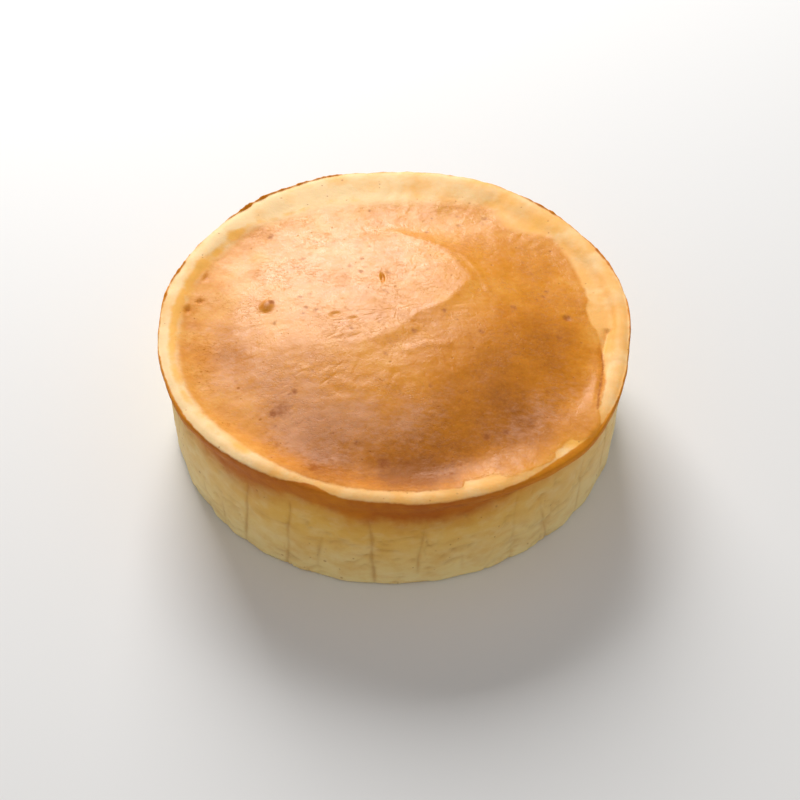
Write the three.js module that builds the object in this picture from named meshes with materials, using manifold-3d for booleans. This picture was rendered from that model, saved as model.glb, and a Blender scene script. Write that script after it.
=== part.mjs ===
// A souffle cheesecake, 15 cm across, out of its paper-lined tin and uncut, so it is one solid. From the
// bottom up it has a flat foot, a pale upright side creased by the folds of the paper, a browned band that
// flares out to the lip, a pale rim, a shallow groove inside the rim, and a browned dome with a few bubbles.
//
// Units are millimetres and +Z is up. The origin is the middle of the foot. Angles are in degrees, seen from
// above and anticlockwise from +X, so the side that faces the viewer is at -90.
import * as THREE from "three";
import { mergeVertices } from "three/addons/utils/BufferGeometryUtils.js";
import Module from "manifold-3d";

// Driving dimensions.
const LIP_RADIUS = 75; // half of the tin's width, which the lip keeps
const WALL_RADIUS = 72.3; // the side has shrunk away from the tin
const WALL_BULGE = 0.3;
const FOOT_ROUND = 1.6;
const RIM_TOP = 42.2;
const LIP_DROP = 1.4; // from the top of the rim down to the widest line of the lip
const BAND_HEIGHT = 8.8; // the browned band, from the top of the rim down to the side
const CREST_INSET = 2.7; // from the lip in to the top of the rim
const GROOVE_RADIUS = 63.6;
const GROOVE_DEPTH = 3.1; // from the top of the rim down to the groove, before it is filled
const DOME_TOP = 47.4;

// Mesh density.
const WALL_ROWS = 4;
const BAND_ROWS = 5;
const RIM_ROWS = 5;
const GROOVE_ROWS = 3;
const DOME_ROWS = 12;
const DOME_ROW_POWER = 1.2; // above 1 the dome's rows lie closer together near the groove
const PANEL_COLUMNS = 3; // between two creases

// Heights and radii that follow from them.
const BAND_BOTTOM = RIM_TOP - BAND_HEIGHT;
const LIP_HEIGHT = RIM_TOP - LIP_DROP;
const GROOVE_HEIGHT = RIM_TOP - GROOVE_DEPTH;
const CREST_RADIUS = LIP_RADIUS - CREST_INSET;
const DOME_RISE = DOME_TOP - GROOVE_HEIGHT;

// The outline isn't a true circle. Each wave has a count round the cake, an amplitude and a phase in degrees.
const LIP_WAVES = [
  { count: 3, amplitude: 0.35, phase: -143 },
  { count: 4, amplitude: 0.6, phase: 136 },
  { count: 7, amplitude: 0.42, phase: 99 },
  { count: 17, amplitude: 0.14, phase: 40 },
];
const WALL_WAVES = [
  { count: 2, amplitude: 0.2, phase: 95 },
  { count: 3, amplitude: 0.3, phase: 15 },
];
const RIM_HEIGHT_WAVES = [
  { count: 2, amplitude: 0.3, phase: 120 },
  { count: 5, amplitude: 0.25, phase: 20 },
  { count: 11, amplitude: 0.14, phase: 75 },
];
// The groove lies further in at the front and the back than at the two sides, and at the front right most.
const GROOVE_WAVES = [
  { count: 1, amplitude: 0.8, phase: -10 },
  { count: 2, amplitude: 2.1, phase: 0 },
  { count: 7, amplitude: 0.5, phase: 65 },
  { count: 12, amplitude: 0.3, phase: 10 },
];
const GROOVE_SHIFT = { angle: -42, halfWidth: 20, shift: -4 };

// The groove is filled again by so much, least at the front.
const GROOVE_FILL = 1.2;
const GROOVE_FILL_WAVES = [
  { count: 1, amplitude: 1, phase: 100 },
  { count: 4, amplitude: 0.25, phase: 20 },
];
// It is also fuller at the back right, where the rim is broad and nearly level.
const FULL_GROOVE = { angle: 50, halfWidth: 20, fill: 0.6 };

// The rim sags at the front right, where the crust has run nearly out to the lip and the groove is shallow.
const SAG = { angle: -45, halfWidth: 22, drop: 1.6, grooveFill: 2.8 };

// The paper's folds leave upright creases in the side. Those at the front are where they show, and the rest
// follow at an uneven spacing. A crease leans, so its foot is turned by that many degrees from its top.
const FRONT_CREASES = [
  { angle: -144, depth: 0.4, lean: 4 },
  { angle: -136, depth: 0.45, lean: 1 },
  { angle: -127, depth: 0.8, lean: -3 },
  { angle: -115, depth: 0.65, lean: -2 },
  { angle: -106.7, depth: 0.5, lean: -3 },
  { angle: -94.5, depth: 0.85, lean: 1.5 },
  { angle: -83, depth: 0.5, lean: -1.8 },
  { angle: -73, depth: 0.35, lean: 1 },
  { angle: -59.5, depth: 0.3, lean: 0 },
  { angle: -51, depth: 0.6, lean: 6 },
];
const CREASE_SPACING = 14;
const CREASE_HALF_WIDTH = 0.9; // degrees, about 1.1 mm on the side
const PANEL_SWELL = 0.5; // the side swells a little between two creases

// The dome rises like a hill whose top lies off the middle. Near the groove it runs out level.
const HILL = { x: 2.5, y: -12, blunting: 4, power: 2, runout: 0.2, runoutPower: 12 };

// On top of the hill lies a flatter plateau, a round that ends in a straight fold on its front right. Its edge
// steps down on the right and fades out towards the left.
const PLATEAU = {
  x: -7,
  y: 8,
  radius: 35.8,
  foldDistance: 20.5,
  foldAngle: -55,
  rounding: 6,
  step: 0.5,
  halfWidth: 3,
  facing: 5,
  fullAngle: 75,
  fadedAngle: 130,
};
// Relief around it: a ripple in the front of the dome, broad swells and a wide shallow trough along a line.
const RIPPLE = { wavelength: 15, amplitude: 0.16, inner: 27, angle: -42, halfAngle: 35 };
const SWELLS = [
  { x: -14, y: 20, radius: 26, height: -0.8 },
  { x: 24, y: 22, radius: 16, height: 0.8 },
  { x: 40, y: -8, radius: 15, height: 0.7 },
  { x: -44, y: 14, radius: 12, height: 0.4 },
];
const TROUGH = { line: [[-60, 5], [-56, -12], [-46, -32]], depth: 0.6, halfWidth: 6 };

// Bubbles on the dome are flat ellipsoids, turned by an angle. One stands up and the others have burst.
const BLISTER = { x: -41, y: 3.9, length: 6, width: 4.3, reach: 0.9, turn: 80 };
const BURST_BUBBLES = [
  { x: -4.6, y: 15.8, length: 5.6, width: 1.7, reach: 0.7, turn: 96 },
  { x: 54.1, y: 2.4, length: 3.4, width: 1.8, reach: 0.5, turn: 110 },
];
const BUBBLE_CENTRE_SHARE = 0.3; // how much of its reach a bubble's centre lies off the surface

const { clamp, lerp, degToRad, radToDeg } = THREE.MathUtils;
const degreesBetween = (a, b) => ((((a - b) % 360) + 540) % 360) - 180;
const hump = (distance, halfWidth) => Math.exp(-((distance / halfWidth) ** 2));

function smoothstep(low, high, value) {
  const t = clamp((value - low) / (high - low), 0, 1);
  return t * t * (3 - 2 * t);
}

function sumOfWaves(waves, angle) {
  return waves.reduce((sum, w) => sum + w.amplitude * Math.cos(degToRad(w.count * angle - w.phase)), 0);
}

// The creases all round, in order of angle. The draws come from a seeded sequence, so they never change.
function makeCreases() {
  const MODULUS = 2147483647;
  let seed = 20261;
  const draw = () => {
    seed = (seed * 16807) % MODULUS;
    return seed / MODULUS;
  };
  const creases = [...FRONT_CREASES];
  const end = FRONT_CREASES[0].angle + 360 - CREASE_SPACING / 2;
  let angle = FRONT_CREASES[FRONT_CREASES.length - 1].angle + CREASE_SPACING;
  while (angle < end) {
    creases.push({ angle, depth: 0.2 + 0.6 * draw(), lean: 4 * draw() - 2 });
    angle += CREASE_SPACING * (0.65 + 0.7 * draw());
  }
  return creases;
}

// The columns that the section is turned through. They gather at the creases and spread over the panels
// between them. Each has its angle, its lean, and how far the side stands out there.
function makeColumns() {
  const creases = makeCreases();
  const columns = [];
  creases.forEach((crease, i) => {
    const next = creases[(i + 1) % creases.length];
    for (const side of [-1, 0, 1]) {
      const angle = crease.angle + side * CREASE_HALF_WIDTH;
      columns.push({ angle, lean: crease.lean, relief: side === 0 ? -crease.depth : 0 });
    }
    const panel = ((next.angle - crease.angle + 360) % 360) - 2 * CREASE_HALF_WIDTH;
    for (let j = 1; j <= PANEL_COLUMNS; j++) {
      const across = j / (PANEL_COLUMNS + 1);
      columns.push({
        angle: crease.angle + CREASE_HALF_WIDTH + across * panel,
        lean: lerp(crease.lean, next.lean, across),
        relief: PANEL_SWELL * Math.sin(Math.PI * across),
      });
    }
  });
  return columns;
}

// The share of the dome's rise at a point seen from above, from 1 on top of the hill to 0 at the groove.
function hillShare(x, y) {
  const [dx, dy] = [x - HILL.x, y - HILL.y];
  const away = Math.max(Math.hypot(dx, dy), 1e-6);
  const along = (HILL.x * dx + HILL.y * dy) / away;
  const reach = Math.sqrt(along ** 2 + GROOVE_RADIUS ** 2 - HILL.x ** 2 - HILL.y ** 2) - along;
  const blunt = (distance) => Math.hypot(distance, HILL.blunting) - HILL.blunting;
  const out = Math.min(blunt(away) / blunt(reach), 1);
  return 1 - (1 + HILL.runout) * out ** HILL.power + HILL.runout * out ** HILL.runoutPower;
}

// How far a point lies below the plateau, none on it and a step outside it.
function plateauFall(x, y) {
  const [dx, dy] = [x - PLATEAU.x, y - PLATEAU.y];
  const turn = degToRad(PLATEAU.foldAngle);
  const pastRound = Math.hypot(dx, dy) - PLATEAU.radius;
  const pastFold = dx * Math.cos(turn) + dy * Math.sin(turn) - PLATEAU.foldDistance;
  const rounded = Math.exp(pastRound / PLATEAU.rounding) + Math.exp(pastFold / PLATEAU.rounding);
  const past = PLATEAU.rounding * Math.log(rounded);
  const turned = Math.abs(degreesBetween(radToDeg(Math.atan2(dy, dx)), PLATEAU.facing));
  const share = 1 - smoothstep(PLATEAU.fullAngle, PLATEAU.fadedAngle, turned);
  return PLATEAU.step * 0.5 * (1 + Math.tanh(past / PLATEAU.halfWidth)) * share;
}

// The rise or fall of the ripple, which starts softly at its inner radius.
function rippleRelief(x, y) {
  const past = Math.hypot(x, y) - RIPPLE.inner;
  const around = hump(degreesBetween(radToDeg(Math.atan2(y, x)), RIPPLE.angle), RIPPLE.halfAngle);
  const share = smoothstep(0, RIPPLE.wavelength, past) * around;
  return RIPPLE.amplitude * share * Math.cos((2 * Math.PI * past) / RIPPLE.wavelength);
}

// How far a point lies from the line of the trough.
function troughDistance(x, y) {
  const point = new THREE.Vector3(x, y, 0);
  const corners = TROUGH.line.map(([cornerX, cornerY]) => new THREE.Vector3(cornerX, cornerY, 0));
  const nearest = new THREE.Vector3();
  const distances = corners.slice(1).map((corner, i) => {
    new THREE.Line3(corners[i], corner).closestPointToPoint(point, true, nearest);
    return nearest.distanceTo(point);
  });
  return Math.min(...distances);
}

// The dome's relief over the hill, at a point seen from above.
function domeRelief(x, y) {
  const swells = SWELLS.reduce((sum, s) => sum + s.height * hump(Math.hypot(x - s.x, y - s.y), s.radius), 0);
  const trough = TROUGH.depth * hump(troughDistance(x, y), TROUGH.halfWidth);
  return rippleRelief(x, y) + swells - trough - plateauFall(x, y);
}

// A row of the dome, at a share of the way from the groove to the middle.
function domeRow(inwards) {
  return {
    radius: GROOVE_RADIUS * (1 - inwards),
    height: GROOVE_HEIGHT,
    wall: 0,
    rim: 0.6 * (1 - smoothstep(0, 0.25, inwards)),
    groove: 1 - smoothstep(0, 0.35, inwards),
    dome: 0.5 + 0.5 * smoothstep(0, 0.12, inwards),
    hill: 1,
  };
}

// The plain form's half section, from the middle of the foot to the middle of the dome. Each row carries how
// much of the side's, the rim's, the groove's and the dome's unevenness it takes, and of the hill's rise.
function makeSection() {
  const rows = [];
  const add = (radius, height, shares) =>
    rows.push({ radius, height, wall: 0, rim: 0, groove: 0, dome: 0, hill: 0, ...shares });

  add(0, 0, {});
  add(WALL_RADIUS - FOOT_ROUND, 0, { wall: 0.9 });
  add(WALL_RADIUS - 0.3 * FOOT_ROUND, 0.3 * FOOT_ROUND, { wall: 1 });
  for (let i = 0; i < WALL_ROWS; i++) {
    const up = i / WALL_ROWS;
    const height = lerp(FOOT_ROUND, BAND_BOTTOM, up);
    add(WALL_RADIUS + WALL_BULGE * Math.sin(Math.PI * up), height, { wall: 1 });
  }

  // The band flares out in an S curve, up to the lip.
  for (let i = 0; i < BAND_ROWS; i++) {
    const up = i / BAND_ROWS;
    const flare = smoothstep(0, 0.95, up);
    const radius = lerp(WALL_RADIUS, LIP_RADIUS, flare);
    add(radius, lerp(BAND_BOTTOM, LIP_HEIGHT, up), { wall: 1 - flare, rim: flare });
  }

  // A quarter of an ellipse rounds the lip over to the top of the rim.
  for (let i = 0; i <= RIM_ROWS; i++) {
    const turn = (i / RIM_ROWS) * (Math.PI / 2);
    add(CREST_RADIUS + CREST_INSET * Math.cos(turn), LIP_HEIGHT + LIP_DROP * Math.sin(turn), { rim: 1 });
  }

  // The rim falls to the groove in half a cosine wave, and the dome starts from there.
  for (let i = 1; i <= GROOVE_ROWS; i++) {
    const inwards = i / GROOVE_ROWS;
    const fall = (1 - Math.cos(Math.PI * inwards)) / 2;
    add(lerp(CREST_RADIUS, GROOVE_RADIUS, inwards), lerp(RIM_TOP, GROOVE_HEIGHT, fall), {
      rim: 1 - 0.4 * fall,
      groove: fall,
      dome: 0.5 * fall,
    });
  }
  for (let i = 1; i <= DOME_ROWS; i++) {
    rows.push(domeRow((i / DOME_ROWS) ** DOME_ROW_POWER));
  }
  return rows;
}

// Where a point of the plain form lies on the real cake.
function shapedPoint(row, column) {
  const up = clamp(row.height / BAND_BOTTOM, 0, 1);
  const angle = column.angle + column.lean * (0.5 - up);
  const [cosine, sine] = [Math.cos(degToRad(angle)), Math.sin(degToRad(angle))];
  const sag = hump(degreesBetween(angle, SAG.angle), SAG.halfWidth);
  const shift = GROOVE_SHIFT.shift * hump(degreesBetween(angle, GROOVE_SHIFT.angle), GROOVE_SHIFT.halfWidth);
  const full = FULL_GROOVE.fill * hump(degreesBetween(angle, FULL_GROOVE.angle), FULL_GROOVE.halfWidth);
  const radius =
    row.radius +
    row.wall * (sumOfWaves(WALL_WAVES, angle) + column.relief) +
    row.rim * (row.radius > GROOVE_RADIUS ? sumOfWaves(LIP_WAVES, angle) : 0) +
    row.groove * (sumOfWaves(GROOVE_WAVES, angle) + shift);
  const height =
    row.height +
    row.rim * (sumOfWaves(RIM_HEIGHT_WAVES, angle) - sag * SAG.drop) +
    row.groove * (GROOVE_FILL + sumOfWaves(GROOVE_FILL_WAVES, angle) + full + sag * SAG.grooveFill) +
    row.hill * DOME_RISE * hillShare(row.radius * cosine, row.radius * sine) +
    row.dome * domeRelief(radius * cosine, radius * sine);
  return new THREE.Vector3(radius * cosine, radius * sine, height);
}

// The height of the dome's surface over a point seen from above.
function surfaceHeight(x, y) {
  const row = domeRow(1 - Math.hypot(x, y) / GROOVE_RADIUS);
  return shapedPoint(row, { angle: radToDeg(Math.atan2(y, x)), lean: 0, relief: 0 }).z;
}

// The plain form is a lathe geometry, whose vertices come column by column, each with the section's rows.
function makeBodyGeometry() {
  const section = makeSection();
  const columns = makeColumns();
  const outline = section.map((row) => new THREE.Vector2(row.radius, row.height));
  const geometry = new THREE.LatheGeometry(outline, columns.length);
  const position = geometry.getAttribute("position");
  for (let i = 0; i <= columns.length; i++) {
    const column = columns[i % columns.length];
    section.forEach((row, j) => {
      const point = shapedPoint(row, column);
      position.setXYZ(i * section.length + j, point.x, point.y, point.z);
    });
  }
  return geometry;
}

// A bubble is a flat ellipsoid. One that stands up has its centre under the dome's surface, and one that has
// burst over it.
function makeBubbleGeometry(bubble, standsUp) {
  const geometry = new THREE.SphereGeometry(1, 12, 8);
  const offset = BUBBLE_CENTRE_SHARE * bubble.reach;
  geometry.scale(bubble.length / 2, bubble.reach + offset, bubble.width / 2);
  geometry.rotateX(Math.PI / 2);
  geometry.rotateZ(degToRad(bubble.turn));
  geometry.translate(bubble.x, bubble.y, surfaceHeight(bubble.x, bubble.y) + (standsUp ? -offset : offset));
  return geometry;
}

// Turns a closed geometry into a solid, with shared vertices merged and the flat triangles at poles dropped.
function solidOf(wasm, geometry) {
  const bare = geometry.clone();
  bare.deleteAttribute("normal");
  bare.deleteAttribute("uv");
  const merged = mergeVertices(bare, 1e-4);
  const index = merged.index.array;
  const triangles = [];
  for (let i = 0; i < index.length; i += 3) {
    const [a, b, c] = index.slice(i, i + 3);
    if (a !== b && b !== c && c !== a) triangles.push(a, b, c);
  }
  return new wasm.Manifold(
    new wasm.Mesh({
      numProp: 3,
      vertProperties: new Float32Array(merged.getAttribute("position").array),
      triVerts: new Uint32Array(triangles),
    }),
  );
}

function geometryOf(solid) {
  const mesh = solid.getMesh();
  const geometry = new THREE.BufferGeometry();
  geometry.setAttribute("position", new THREE.BufferAttribute(mesh.vertProperties, 3));
  geometry.setIndex(new THREE.BufferAttribute(mesh.triVerts, 1));
  geometry.computeVertexNormals();
  return geometry;
}

async function makeCheesecakeGeometry() {
  const wasm = await Module();
  wasm.setup();
  let solid = solidOf(wasm, makeBodyGeometry());
  solid = solid.add(solidOf(wasm, makeBubbleGeometry(BLISTER, true)));
  for (const bubble of BURST_BUBBLES) {
    solid = solid.subtract(solidOf(wasm, makeBubbleGeometry(bubble, false)));
  }
  return geometryOf(solid);
}

const bakedCheesecake = new THREE.MeshStandardMaterial({ color: 0xd79a4b, roughness: 0.45, metalness: 0 });

const cheesecake = new THREE.Mesh(await makeCheesecakeGeometry(), bakedCheesecake);
cheesecake.name = "souffle_cheesecake";

const group = new THREE.Group();
group.add(cheesecake);

export default group;
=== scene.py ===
"""The looks of a whole souffle cheesecake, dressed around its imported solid.

The cake is turned from its half section, then uneven outlines, the paper's creases, the crust's relief
and its bubbles are moved into the mesh. Lengths in the classes are in millimetres and angles in degrees,
seen from above and anticlockwise from +X, so the side that faces the camera is at -90.
"""

import logging
import math
from dataclasses import dataclass, field
from enum import Enum, StrEnum, auto

import bmesh
import bpy
import numpy as np
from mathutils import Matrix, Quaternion, Vector, noise


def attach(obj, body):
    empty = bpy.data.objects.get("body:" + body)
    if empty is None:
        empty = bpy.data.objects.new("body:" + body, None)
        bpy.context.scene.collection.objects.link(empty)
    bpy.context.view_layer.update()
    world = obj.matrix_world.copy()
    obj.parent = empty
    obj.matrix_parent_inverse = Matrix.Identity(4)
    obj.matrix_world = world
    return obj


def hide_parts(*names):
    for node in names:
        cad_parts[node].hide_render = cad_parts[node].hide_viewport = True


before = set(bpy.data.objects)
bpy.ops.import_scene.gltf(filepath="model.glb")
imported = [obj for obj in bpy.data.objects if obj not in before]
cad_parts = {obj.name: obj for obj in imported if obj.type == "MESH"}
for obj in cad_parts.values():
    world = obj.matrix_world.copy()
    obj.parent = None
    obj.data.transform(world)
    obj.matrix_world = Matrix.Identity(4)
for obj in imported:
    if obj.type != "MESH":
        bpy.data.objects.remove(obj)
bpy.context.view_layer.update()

LOG = logging.getLogger("souffle_cheesecake")
MM = 0.001
CAD_NODE = "souffle_cheesecake"
BODY = "root"
# Short names for types, where a Span is the two values between which something rises or falls
Array = np.ndarray
Socket = bpy.types.NodeSocket
Span = tuple[float, float]


def smoothstep(low: float, high: float, value: Array | float) -> Array:
    """Rise smoothly from 0 at low to 1 at high.

    Args:
        low: Where the rise starts.
        high: Where it ends.
        value: The places to read it at.

    Returns:
        The share at each place.
    """
    t = np.clip((value - low) / (high - low), 0, 1)
    return t * t * (3 - 2 * t)


def hump(distance: Array | float, half_width: float) -> Array:
    """Return a bell that is 1 at no distance and about a third at half_width."""
    return np.exp(-((distance / half_width) ** 2))


def degrees_between(a: Array | float, b: Array | float) -> Array:
    """Return the turn from b to a, from -180 to 180."""
    return (a - b + 540) % 360 - 180


def perlin(points: Array, wavelength: float | tuple, seed: int) -> Array:
    """Read soft random unevenness.

    Args:
        points: Places, one row each, in millimetres.
        wavelength: The size of a lump, the same all ways or one for each axis.
        seed: Picks one pattern out of many.

    Returns:
        A value from about -1 to 1 at each place.
    """
    moved = points / np.array(wavelength) + 17.31 * seed
    return np.array([noise.noise(p) for p in moved.tolist()])


def bearing(x: Array, y: Array) -> Array:
    """Return the angle at which each place lies, seen from the middle."""
    return np.degrees(np.arctan2(y, x))


def flat_places(x: Array, y: Array) -> Array:
    """Return places on the top as rows, all at one level."""
    return np.stack([x, y, np.zeros_like(x)], axis=1)


def total(forms: tuple, *places: Array) -> Array:
    """Return what waves, stretches, spots or other forms add up to at each place."""
    return sum(form.share(*places) for form in forms)


def left_clear(spots: list | tuple, x: Array, y: Array) -> Array:
    """Return how much of each place the spots leave free where they are laid over each other.

    Args:
        spots: The spots.
        x: Each place's x.
        y: Each place's y.

    Returns:
        A share from 0 to 1 for each place.
    """
    clear = np.ones_like(x)
    for spot in spots:
        clear *= 1 - spot.share(x, y)
    return clear


@dataclass(frozen=True)
class Wave:
    """One wave of unevenness round the cake."""

    count: int
    amplitude: float
    phase: float

    def share(self, angle: Array) -> Array:
        """Return what the wave adds at each angle."""
        return self.amplitude * np.cos(np.radians(self.count * angle - self.phase))


@dataclass(frozen=True)
class Stretch:
    """A stretch of the round where something is strongest in the middle and fades to both sides."""

    angle: float
    half_width: float
    strength: float

    def share(self, angle: Array) -> Array:
        """Return the strength at each angle."""
        return self.strength * hump(degrees_between(angle, self.angle), self.half_width)


@dataclass(frozen=True)
class EdgeZone(Stretch):
    """A stretch along the crust's edge that fades out inwards between two distances."""

    fade_start: float
    fade_end: float

    def share(self, angle: Array, inset: Array) -> Array:
        """Return the strength at each angle and distance inside the edge."""
        return super().share(angle) * (1 - smoothstep(self.fade_start, self.fade_end, inset))


@dataclass(frozen=True)
class Tear:
    """A stretch of the crust's edge that tore off and left pale crumb."""

    start: float
    end: float
    depth: float
    blur: float = 0.5

    def share(self, angle: Array) -> Array:
        """Return how far in the tear reaches at each angle.

        Args:
            angle: The angle of each place.

        Returns:
            The reach in millimetres.
        """
        past_start = smoothstep(-self.blur, self.blur, degrees_between(angle, self.start))
        past_end = smoothstep(-self.blur, self.blur, degrees_between(angle, self.end))
        return self.depth * past_start * (1 - past_end)


@dataclass(frozen=True)
class Spot:
    """A round spot of the top where something is strongest in the middle and fades outwards."""

    x: float
    y: float
    radius: float
    strength: float

    def share(self, x: Array, y: Array) -> Array:
        """Return the strength at each place."""
        return self.strength * hump(np.hypot(x - self.x, y - self.y), self.radius)


@dataclass(frozen=True)
class Line:
    """A narrow ridge along straight stretches, or a furrow where its height is below 0."""

    points: tuple[tuple[float, float], ...]
    height: float
    half_width: float

    def away(self, x: Array, y: Array) -> Array:
        """Return how far from the line each place is.

        Args:
            x: Each place's x.
            y: Each place's y.

        Returns:
            The distance to the nearest stretch.
        """
        nearest = np.full_like(x, 1e3)
        for (ax, ay), (bx, by) in zip(self.points, self.points[1:]):
            dx, dy = bx - ax, by - ay
            along = np.clip(((x - ax) * dx + (y - ay) * dy) / (dx**2 + dy**2), 0, 1)
            nearest = np.minimum(nearest, np.hypot(x - ax - along * dx, y - ay - along * dy))
        return nearest

    def share(self, x: Array, y: Array) -> Array:
        """Return the height at each place."""
        return self.height * hump(self.away(x, y), self.half_width)


@dataclass(frozen=True)
class Lumps:
    """Soft random lumps of one height and size."""

    height: float
    size: float | tuple[float, float, float]
    seed: int

    def share(self, places: Array) -> Array:
        """Return the height at each place."""
        return self.height * perlin(places, self.size, self.seed)


@dataclass(frozen=True)
class Wrinkles:
    """Narrow random wrinkles, which show in soft patches."""

    depth: float
    size: tuple[float, float, float]
    half_width: float
    seed: int
    patch_size: float | tuple[float, float, float]
    patch_rise: Span

    def share(self, places: Array) -> Array:
        """Return the depth at each place."""
        line = hump(perlin(places, self.size, self.seed), self.half_width)
        patches = perlin(places, self.patch_size, self.seed + 1)
        return self.depth * line * smoothstep(*self.patch_rise, patches)


class BubbleState(Enum):
    """What became of a bubble in the batter."""

    RAISED = "raised"
    BURST = "burst"


@dataclass(frozen=True)
class Bubble:
    """An oval bubble on the dome, turned by an angle."""

    x: float
    y: float
    length: float
    width: float
    reach: float
    turn: float
    state: BubbleState = BubbleState.BURST
    roundness: float = 0.8
    floor_share: float = 0.3
    edge_share: float = 1.05
    lip: float = 0.08
    lip_share: float = 1.3
    lip_half_width: float = 0.35

    def out(self, x: Array, y: Array) -> Array:
        """Return how far out from its middle each place is, with 1 at its edge.

        Args:
            x: Each place's x.
            y: Each place's y.

        Returns:
            The distance in shares of the bubble's half sizes.
        """
        turn = math.radians(self.turn)
        along = (x - self.x) * math.cos(turn) + (y - self.y) * math.sin(turn)
        across = (y - self.y) * math.cos(turn) - (x - self.x) * math.sin(turn)
        return np.hypot(along / (self.length / 2), across / (self.width / 2))

    def share(self, x: Array, y: Array) -> Array:
        """Return the height that the bubble adds, with a soft lip round one that burst.

        Args:
            x: Each place's x.
            y: Each place's y.

        Returns:
            The height at each place, below 0 in a hollow.
        """
        out = self.out(x, y)
        if self.state is BubbleState.RAISED:
            return self.reach * np.clip(1 - out**2, 0, 1) ** self.roundness
        lip = self.lip * hump(out - self.lip_share, self.lip_half_width)
        return self.reach * (lip - 1 + smoothstep(self.floor_share, self.edge_share, out))


BLISTER = Bubble(-41.0, 3.9, 6.0, 4.3, 0.9, 80, BubbleState.RAISED)


@dataclass
class Outline:
    """How the cake's outlines depart from true circles."""

    lip_waves: tuple[Wave, ...] = (
        Wave(3, 0.35, -143), Wave(4, 0.6, 136), Wave(7, 0.42, 99), Wave(17, 0.14, 40),
    )
    lip_nibbles: tuple[Lumps, ...] = (Lumps(0.22, 7, 35), Lumps(0.1, 2.2, 36))
    wall_waves: tuple[Wave, ...] = (Wave(2, 0.2, 95), Wave(3, 0.3, 15))
    rim_height_waves: tuple[Wave, ...] = (Wave(2, 0.3, 120), Wave(5, 0.25, 20), Wave(11, 0.14, 75))
    rim_lumps: tuple[Lumps, ...] = (Lumps(0.25, 8, 38), Lumps(0.12, 3, 39))
    sag: Stretch = Stretch(-45, 22, 1)
    sag_drop: float = 1.6
    sag_fill: float = 2.8
    groove_shifts: tuple[Wave | Stretch, ...] = (
        Wave(1, 0.8, -10), Wave(2, 2.1, 0), Wave(7, 0.5, 65), Wave(12, 0.3, 10), Stretch(-42, 20, -4),
    )
    groove_fill: float = 1.2
    groove_fills: tuple[Wave | Stretch, ...] = (Wave(1, 1.0, 100), Wave(4, 0.25, 20), Stretch(50, 20, 0.6))
    crust_radius: float = 67.0
    crust_waves: tuple[Wave, ...] = (
        Wave(1, 4.5, -90), Wave(2, 0.5, -100), Wave(3, 1.3, 170), Wave(4, 1.8, -170), Wave(5, 0.6, -125),
    )
    crust_step: float = 0.22
    crust_ragged: Lumps = Lumps(0.8, 3, 37)
    tears: tuple[Tear, ...] = (
        Tear(-73.0, -63.5, 2.8, 0.8), Tear(-48.5, -41.5, 2.0, 1.0), Tear(-40, -32, -2.6, 2.5),
        Tear(0, 9, 1.8, 2), Tear(44, 57, 6.5, 5), Tear(118, 134, 1.8, 5), Tear(76, 108, 1.2, 8),
        Tear(160, 215, -1.6, 12),
    )
    pale: tuple[Stretch, ...] = (Stretch(-158, 40, 1.0), Stretch(132, 30, 0.8), Stretch(88, 25, 0.4))
    least_softness: float = 1
    soft_edges: tuple[Stretch, ...] = (Stretch(-172, 46, 2.6), Stretch(90, 50, 8))
    band_depth: float = 10.4
    band_shifts: tuple[Wave | Stretch, ...] = (
        Wave(1, 1.0, -70), Wave(3, 0.6, 60), Wave(5, 0.5, 30),
        Stretch(-112, 10, -4.0), Stretch(-50, 15, -3.6),
    )
    skin_rise: float = 0.4
    skin_rises: tuple[Stretch, ...] = (Stretch(-46, 13, 2.4), Stretch(-148, 10, 0.9), Stretch(-109, 4, 1.8))

    def rim_shift(self, angle: Array) -> Array:
        """Return how much higher than plain the rim is at each angle, and lower where it sags."""
        return total(self.rim_height_waves, angle) - self.sag_drop * self.sag.share(angle)

    def groove_filling(self, angle: Array) -> Array:
        """Return how far the groove is filled at each angle, most at the back and where the rim sags."""
        return self.groove_fill + total(self.groove_fills, angle) + self.sag_fill * self.sag.share(angle)

    def crust_edge(self, angle: Array) -> Array:
        """Return the radius out to which the crust reaches."""
        return self.crust_radius + total(self.crust_waves, angle) - total(self.tears, angle)

    def edge_softness(self, angle: Array) -> Array:
        """Return over how many millimetres the crust fades out, most at the left and the back."""
        return self.least_softness + total(self.soft_edges, angle)

    def skin_top(self, angle: Array) -> Array:
        """Return how far above the lip's widest line the browned skin starts."""
        return self.skin_rise + total(self.skin_rises, angle)

    def band_bottom(self, angle: Array) -> Array:
        """Return how far below the browned skin's top its lower edge lies."""
        return self.band_depth + total(self.band_shifts, angle) + self.skin_top(angle)


@dataclass(frozen=True)
class Crease:
    """An upright crease from a fold of the paper, shown between two shares of the side's height."""

    angle: float
    depth: float
    lean: float
    low: float = -0.2
    high: float = 1.2
    fade_in: float = 0.2
    fade_out: float = 0.3

    def shown(self, up: Array) -> Array:
        """Return how much of the crease shows at each share of the way up."""
        started = smoothstep(self.low, self.low + self.fade_in, up)
        return started * (1 - smoothstep(self.high - self.fade_out, self.high, up))


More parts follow.
